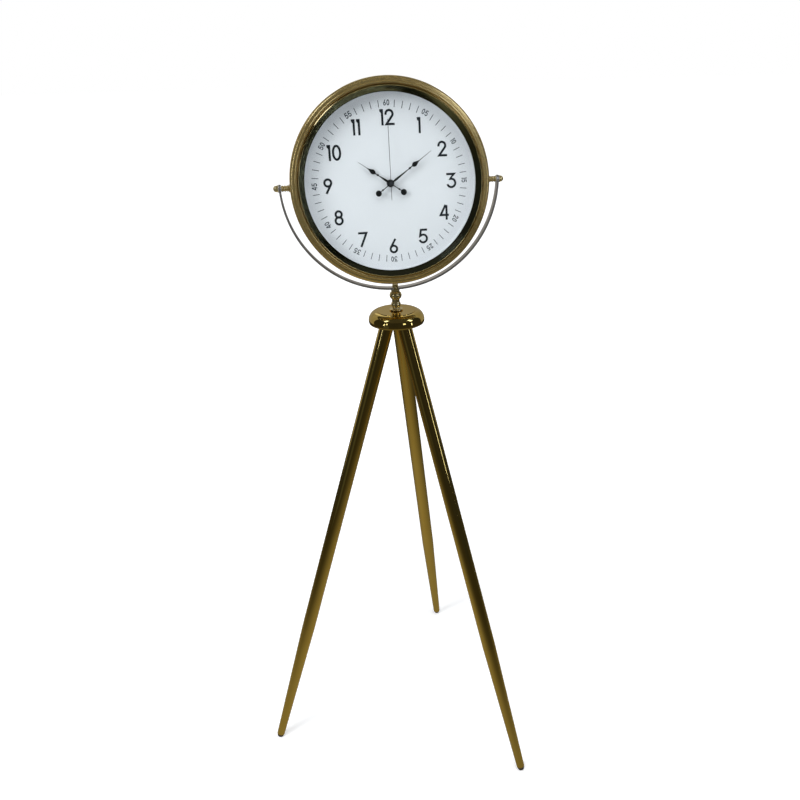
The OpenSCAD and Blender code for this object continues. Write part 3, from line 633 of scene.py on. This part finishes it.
class CLOCK_OT_studio(bpy.types.Operator):
    """Lay the pale floor, hang the lamps and stand dark screens for the brass to mirror"""
    bl_idname = "clock.studio"
    bl_label = "Build the studio"

    def sheet(self, context, name, corners, faces, material):
        mesh = bpy.data.meshes.new(name)
        mesh.from_pydata(corners, [], faces)
        mesh.materials.append(material)
        made = bpy.data.objects.new(name, mesh)
        context.scene.collection.objects.link(made)
        return made

    def level(self, half, height):
        """Corners of a level square round the clock"""
        return [(-half, -half, height), (half, -half, height), (half, half, height), (-half, half, height)]

    def lamp(self, context, name, place, aim, size, power):
        """A large soft lamp, which no reflection shows"""
        data = bpy.data.lights.new(name, "AREA")
        data.shape = "RECTANGLE"
        data.size, data.size_y = size
        data.energy = power
        made = bpy.data.objects.new(name, data)
        context.scene.collection.objects.link(made)
        made.location = place
        made.rotation_euler = (Vector(aim) - Vector(place)).to_track_quat("-Z", "Y").to_euler()
        made.visible_camera = made.visible_glossy = made.visible_transmission = False

    def seen_as_white(self, tree):
        """1 for the rays that see the background: the camera's, and those off metal and through glass"""
        path = tree.nodes.new("ShaderNodeLightPath")
        total = path.outputs["Is Camera Ray"]
        for name in ("Is Glossy Ray", "Is Transmission Ray"):
            more = tree.nodes.new("ShaderNodeMath")
            more.operation = "MAXIMUM"
            tree.links.new(total, more.inputs[0])
            tree.links.new(path.outputs[name], more.inputs[1])
            total = more.outputs[0]
        return total

    def sky(self, context, s):
        """Even light from all round, before a white background"""
        world = bpy.data.worlds.new("studio_light")
        context.scene.world = world
        world.use_nodes = True
        tree = world.node_tree
        tree.nodes.clear()
        out = tree.nodes.new("ShaderNodeOutputWorld")
        light = tree.nodes.new("ShaderNodeBackground")
        light.inputs["Color"].default_value = (*s.sky_colour, 1.0)
        light.inputs["Strength"].default_value = s.world_light
        white = tree.nodes.new("ShaderNodeBackground")
        white.inputs["Color"].default_value = (1.0, 1.0, 1.0, 1.0)
        white.inputs["Strength"].default_value = 1.0
        mix = tree.nodes.new("ShaderNodeMixShader")
        tree.links.new(self.seen_as_white(tree), mix.inputs[0])
        tree.links.new(light.outputs[0], mix.inputs[1])
        tree.links.new(white.outputs[0], mix.inputs[2])
        tree.links.new(mix.outputs[0], out.inputs["Surface"])

    def floor(self, context, s):
        """A pale floor, lifted to white where it is seen, which keeps the clock's shadow"""
        floor = Shader("floor_paint")
        floor.set(Base_Color=s.floor_colour, Roughness=0.9)
        floor.surface.inputs["Specular IOR Level"].default_value = 0.0
        glow = floor.node("ShaderNodeEmission")
        reach = floor.away_from((0.0, 0.0, 0.0), (0.0, 0.0, 1.0))
        lift = floor.range(reach, s.floor_glow * NEAR_GLOW, s.floor_glow, *GLOW_REACH)
        floor.join(lift, glow.inputs["Strength"])
        dark = floor.node("ShaderNodeEmission")
        dark.inputs["Strength"].default_value = 0.0
        pick = floor.node("ShaderNodeMixShader")
        total = floor.node("ShaderNodeAddShader")
        floor.join(self.seen_as_white(floor.tree), pick.inputs[0])
        floor.join(dark.outputs[0], pick.inputs[1])
        floor.join(glow.outputs[0], pick.inputs[2])
        floor.join(floor.surface.outputs[0], total.inputs[0])
        floor.join(pick.outputs[0], total.inputs[1])
        floor.join(total.outputs[0], floor.out.inputs["Surface"])
        corners = self.level(s.floor_size / 2, FLOOR_LEVEL)
        self.sheet(context, "floor", corners, [(0, 1, 2, 3)], floor.material)

    def screen(self, context, name, quads, colour, strength=1.0, fades=None):
        """Upright or level sheets that are seen only as reflections in metal and glass"""
        cloth = Shader(name + "_cloth")
        glow = cloth.node("ShaderNodeEmission")
        if fades is None:
            tone = cloth.ramp(cloth.noise(0.6, 2.0, 0.5), [c * 0.8 for c in colour], colour, 0.3, 0.7)
        else:
            reach = cloth.away_from(FADE_CENTRE, (0.0, 0.0, 1.0))
            tone = cloth.stops(cloth.range(reach, 0.0, 1.0, 0.0, FADE_REACH),
                               [(at, [c * share for c in colour]) for at, share in fades])
        cloth.join(tone, glow.inputs["Color"])
        glow.inputs["Strength"].default_value = strength
        if strength > 1.0:
            # Bright panels go dark in the smooth glass, where they would hide the dial from aside
            path = cloth.node("ShaderNodeLightPath")
            cloth.join(cloth.range(path.outputs["Is Singular Ray"], strength, GLASS_STRENGTH, 0.0, 1.0),
                       glow.inputs["Strength"])
        cloth.join(glow.outputs[0], cloth.out.inputs["Surface"])
        corners = [corner for quad in quads for corner in quad]
        faces = [tuple(range(4 * i, 4 * i + 4)) for i in range(len(quads))]
        made = self.sheet(context, name, corners, faces, cloth.material)
        made.visible_camera = made.visible_diffuse = made.visible_shadow = False
        made.visible_volume_scatter = False

    def wall(self, radius, start, end, low, high, steps):
        """Flat quads of a round wall, from one angle and height to another"""
        quads = []
        for i in range(steps):
            a = math.radians(start + (end - start) * i / steps)
            b = math.radians(start + (end - start) * (i + 1) / steps)
            quads.append([(math.sin(angle) * radius, -math.cos(angle) * radius, z)
                          for angle, z in ((a, low), (b, low), (b, high), (a, high))])
        return quads

    def walls(self, panels):
        """Quads of several round walls"""
        return [quad for panel in panels for quad in self.wall(*panel)]

    def screens(self, context, s):
        """The dark room round the clock and the panels of light in it"""
        r = s.screen_radius
        front = self.wall(r, FRONT_START, FRONT_END, 0.0, ROOM_HEIGHT, 16)
        back = self.walls(((r, FRONT_END, FRONT_START + 360.0, 0.0, WINDOW_FOOT, 12),
                           (r, FRONT_END, WINDOW_START, WINDOW_FOOT, ROOM_HEIGHT, 5),
                           (r, WINDOW_END, FRONT_START + 360.0, WINDOW_FOOT, ROOM_HEIGHT, 5)))
        window = self.wall(r, WINDOW_START, WINDOW_END, WINDOW_FOOT, ROOM_HEIGHT, 3)
        self.screen(context, "front_screens", front, s.front_screen)
        self.screen(context, "back_screens", back, s.back_screen)
        self.screen(context, "back_light", window, s.window)
        self.screen(context, "ceiling_screen", [self.level(r, ROOM_HEIGHT)], s.ceiling)
        self.screen(context, "floor_screen", [self.level(r, FLOOR_SCREEN_LEVEL)], s.near_floor,
                    fades=FLOOR_FADES)
        self.screen(context, "light_panels", self.walls(LINE_PANELS), s.line_panel, s.panel_light)
        self.screen(context, "soft_panels", self.walls(SOFT_PANELS), s.soft_panel, s.panel_light * SOFT_SHARE)
        self.screen(context, "dim_panel", self.walls(DIM_PANELS), s.dim_panel)

    def execute(self, context):
        s = context.scene.floor_clock.studio
        context.scene.view_settings.view_transform = "Standard"
        self.sky(context, s)
        self.floor(context, s)
        for (name, place, aim, size), power in zip(LAMPS, (s.key_power, s.top_power, s.fill_power)):
            self.lamp(context, name, place, aim, size, power)
        self.screens(context, s)
        return {"FINISHED"}


class CLOCK_OT_brass(bpy.types.Operator):
    """Polish the tubes, the hub, the post, the case, the bezel, the side pins and the knobs"""
    bl_idname = "clock.brass"
    bl_label = "Polish the brass"

    def execute(self, context):
        s = context.scene.floor_clock.metal
        cover(("leg_left", "leg_right", "leg_rear"), brass("leg_brass", s.tube_brass, s.polish, smudge=6.0))
        cover(("hub_cap",), brass("hub_brass", s.tube_brass, s.hub_polish, smudge=14.0))
        # The post gets the brighter brass, painted light for its brighter highlights
        cover(("post", "yoke_screw"),
              brass("post_brass", s.post_brass, s.post_polish, smudge=30.0, metal=0.95, skin=0.0008))
        cover(("case_drum",), brass("case_brass", s.case_brass, s.satin, smudge=7.0, metal=0.90))
        # The bezel's slope gets its painted dark reflection
        cover(("bezel",), brass("bezel_brass", s.case_brass, s.polish, smudge=7.0, slope=s.slope_brass))
        cover(("side_pin_left", "side_pin_right", "knob_left", "knob_right"),
              brass("pin_brass", s.pin_brass, s.polish, smudge=60.0, metal=0.82))
        return {"FINISHED"}


class CLOCK_OT_spun_pieces(bpy.types.Operator):
    """Turn the case, the bezel and the hub's cap as even spun pieces that stand for their CAD nodes"""
    bl_idname = "clock.spun_pieces"
    bl_label = "Turn the spun pieces"

    def execute(self, context):
        origin, upright = Vector((0.0, 0.0, 0.0)), Vector((0.0, 0.0, 1.0))
        for node, body, centre, axis in (("case_drum", "head", DIAL_CENTRE, DIAL_OUT),
                                         ("bezel", "head", DIAL_CENTRE, DIAL_OUT),
                                         ("hub_cap", "tripod", origin, upright)):
            piece = spun("spun_" + node, node, centre, axis)
            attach(piece, body)
            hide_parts(node)
        return {"FINISHED"}


class CLOCK_OT_yoke(bpy.types.Operator):
    """Give the yoke's flat bar its satin nickel"""
    bl_idname = "clock.yoke"
    bl_label = "Finish the yoke"

    def execute(self, context):
        s = context.scene.floor_clock.metal
        cover(("yoke_band",),
              plain_metal("yoke_nickel", s.nickel, rough=0.30, grain=(1, 30, 1), scale=60.0, metal=0.9))
        return {"FINISHED"}


class CLOCK_OT_stand_parts(bpy.types.Operator):
    """Finish the feet, the block in the hub, the plugs, studs, bush and washers"""
    bl_idname = "clock.stand_parts"
    bl_label = "Finish the stand's small parts"

    def execute(self, context):
        s = context.scene.floor_clock.parts
        cover(("foot_left", "foot_right", "foot_rear"), moulded("foot_rubber", s.foot_rubber, rough=0.55))
        cover(("hub_block",),
              plain_metal("hub_casting", s.hub_casting, rough=0.62, scale=120.0, depth=0.0004))
        cover(("leg_plugs", "leg_studs", "post_washer", "post_screw"),
              plain_metal("stand_zinc", s.stand_zinc, rough=0.34, grain=(1, 1, 12)))
        cover(("swivel_bush",), moulded("bush_nylon", s.bush_nylon, rough=0.42))
        cover(("tilt_washers",), moulded("washer_nylon", s.washer_nylon, rough=0.45))
        return {"FINISHED"}


class CLOCK_OT_case_back(bpy.types.Operator):
    """Finish the back cover, its screws and the ring and nuts inside the case"""
    bl_idname = "clock.case_back"
    bl_label = "Finish the case's back"

    def execute(self, context):
        s = context.scene.floor_clock.parts
        cover(("back_cover",), moulded("cover_paint", s.cover_paint, rough=0.48, scale=700.0, depth=0.00012))
        cover(("back_screws", "side_pin_nuts", "dial_clamp_ring"),
              plain_metal("case_zinc", s.case_zinc, rough=0.32, grain=(12, 1, 1)))
        return {"FINISHED"}


class CLOCK_OT_dial(bpy.types.Operator):
    """Paint the dial and the ring round it, the ring darker as painted shade, and fit the glass and its
    gasket
    """
    bl_idname = "clock.dial"
    bl_label = "Finish the dial and glass"

    def glass(self):
        """Clear glass that lets light and shadow straight through"""
        made = Shader("dial_glass")
        made.set(Base_Color=(0.97, 0.99, 0.98), Roughness=0.0, IOR=1.46)
        made.surface.inputs["Transmission Weight"].default_value = 1.0
        path = made.node("ShaderNodeLightPath")
        lets = made.node("ShaderNodeMath", operation="MAXIMUM")
        made.join(path.outputs["Is Shadow Ray"], lets.inputs[0])
        made.join(path.outputs["Is Diffuse Ray"], lets.inputs[1])
        clear = made.node("ShaderNodeBsdfTransparent")
        clear.inputs["Color"].default_value = (0.97, 0.985, 0.98, 1.0)
        mix = made.node("ShaderNodeMixShader")
        made.join(lets.outputs[0], mix.inputs[0])
        made.join(made.surface.outputs[0], mix.inputs[1])
        made.join(clear.outputs[0], mix.inputs[2])
        made.join(mix.outputs[0], made.out.inputs["Surface"])
        return made.material

    def execute(self, context):
        s = context.scene.floor_clock.dial
        cover(("dial_plate",),
              moulded("dial_white", s.paint, rough=0.50, scale=2600.0, depth=0.00002, sheen=0.25, vary=0.985))
        # Painted shade: the ring's paint is the dial's, darkened by the ring's share
        ring = [c * s.ring_shade for c in s.paint]
        cover(("dial_ring",),
              moulded("ring_white_painted_shade", ring, rough=0.60, scale=900.0, depth=0.00004, sheen=0.3, vary=0.97))
        cover(("lens",), self.glass())
        cover(("lens_gasket",), moulded("gasket_rubber", s.gasket, rough=0.6))
        return {"FINISHED"}


class CLOCK_OT_minute_ring(bpy.types.Operator):
    """Print the minute ticks, with a small number every five minutes, its top to the rim"""
    bl_idname = "clock.minute_ring"
    bl_label = "Print the minute ring"

    def execute(self, context):
        s = context.scene.floor_clock.dial
        ink = moulded("minute_ink", s.grey_ink, rough=0.6, scale=1200.0, depth=0.00001, sheen=0.3)
        bar = [(-s.tick_width / 2, -s.tick_length / 2), (s.tick_width / 2, -s.tick_length / 2),
               (s.tick_width / 2, s.tick_length / 2), (-s.tick_width / 2, s.tick_length / 2)]
        ticks, numbers = [], []
        for minute in range(1, 61):
            angle = math.radians(minute * 6.0)
            if minute % 5:
                ticks.append((turned(bar, angle, s.tick_radius), [(0, 1, 2, 3)]))
            else:
                corners, faces = lettering("%02d" % minute, MINUTE_STROKE, MINUTE_GAP)
                squeezed = [(x * MINUTE_SQUEEZE, y) for x, y in corners]
                numbers.append((turned(squeezed, angle, s.minute_radius, s.minute_height), faces))
        printed("minute_ticks", ticks, ink, s.print_lift)
        printed("minute_numbers", numbers, ink, s.print_lift)
        return {"FINISHED"}


class CLOCK_OT_hour_numerals(bpy.types.Operator):
    """Print the twelve upright hour numerals"""
    bl_idname = "clock.hour_numerals"
    bl_label = "Print the hour numerals"

    def execute(self, context):
        s = context.scene.floor_clock.dial
        ink = moulded("hour_ink", s.ink, rough=0.42, scale=1200.0, depth=0.00001, sheen=0.4)
        shapes = []
        for hour in range(1, 13):
            angle = math.radians(hour * 30.0)
            corners, faces = lettering(str(hour), s.hour_stroke)
            x, y = math.sin(angle) * s.hour_radius, math.cos(angle) * s.hour_radius
            shapes.append(([(cx * s.hour_height + x, cy * s.hour_height + y) for cx, cy in corners], faces))
        printed("hour_numerals", shapes, ink, s.print_lift)
        return {"FINISHED"}


class CLOCK_OT_hands(bpy.types.Operator):
    """Paint the hands and finish the nut and washer under them"""
    bl_idname = "clock.hands"
    bl_label = "Finish the hands"

    def execute(self, context):
        s = context.scene.floor_clock.dial
        cover(("hour_hand", "minute_hand"),
              moulded("hand_black", s.hands, rough=0.38, scale=1400.0, depth=0.00002))
        cover(("second_hand",), moulded("hand_grey", s.second_hand, rough=0.42, scale=1400.0, depth=0.00002))
        cover(("dial_nut", "dial_washer"), plain_metal("nut_black", s.dial_nut, rough=0.36))
        return {"FINISHED"}


class CLOCK_OT_movement(bpy.types.Operator):
    """Finish the movement: housing, motor, battery, contacts, wheels and set knob"""
    bl_idname = "clock.movement"
    bl_label = "Finish the movement"

    def execute(self, context):
        s = context.scene.floor_clock.parts
        wheel_brass = context.scene.floor_clock.metal.pin_brass
        cover(("movement_housing", "movement_lid"), moulded("movement_black", s.movement, rough=0.5))
        cover(("motor_block",), plain_metal("motor_copper", s.motor_copper, rough=0.38, grain=(1, 40, 1)))
        cover(("battery_cell",),
              moulded("battery_jacket", s.battery_jacket, rough=0.22, scale=300.0, depth=0.00003))
        cover(("battery_contacts", "second_arbor"),
              plain_metal("contact_nickel", s.contact_nickel, rough=0.24))
        cover(("hour_wheel", "minute_arbor", "set_wheel"),
              plain_metal("wheel_brass", wheel_brass, rough=0.28, grain=(1, 1, 20)))
        cover(("set_knob",), moulded("set_knob_nylon", s.set_knob, rough=0.40))
        return {"FINISHED"}


class CLOCK_PT_panel(bpy.types.Panel):
    """The floor clock's settings and steps"""
    bl_idname = "CLOCK_PT_panel"
    bl_label = "Floor Clock"
    bl_space_type = "VIEW_3D"
    bl_region_type = "UI"
    bl_category = "Floor Clock"

    def draw(self, context):
        settings = context.scene.floor_clock
        for title, group in (("Camera", settings.camera), ("Studio", settings.studio),
                             ("Metal", settings.metal), ("Dial", settings.dial),
                             ("Small parts", settings.parts)):
            box = self.layout.box()
            box.label(text=title)
            for key in group.__annotations__:
                box.prop(group, key)
        for step in STEPS:
            self.layout.operator(step.bl_idname)


STEPS = (CLOCK_OT_camera, CLOCK_OT_studio, CLOCK_OT_brass, CLOCK_OT_spun_pieces, CLOCK_OT_yoke,
         CLOCK_OT_stand_parts, CLOCK_OT_case_back, CLOCK_OT_dial, CLOCK_OT_minute_ring,
         CLOCK_OT_hour_numerals, CLOCK_OT_hands, CLOCK_OT_movement)
CLASSES = (ClockCameraSettings, ClockStudioSettings, ClockMetalSettings, ClockDialSettings,
           ClockPartsSettings, ClockSettings, *STEPS, CLOCK_PT_panel)


def register():
    for cls in CLASSES:
        bpy.utils.register_class(cls)
    bpy.types.Scene.floor_clock = PointerProperty(type=ClockSettings)


def unregister():
    del bpy.types.Scene.floor_clock
    for cls in reversed(CLASSES):
        bpy.utils.unregister_class(cls)


def main():
    register()
    for step in STEPS:
        group, name = step.bl_idname.split(".")
        getattr(getattr(bpy.ops, group), name)()


if __name__ == "__main__":
    main()
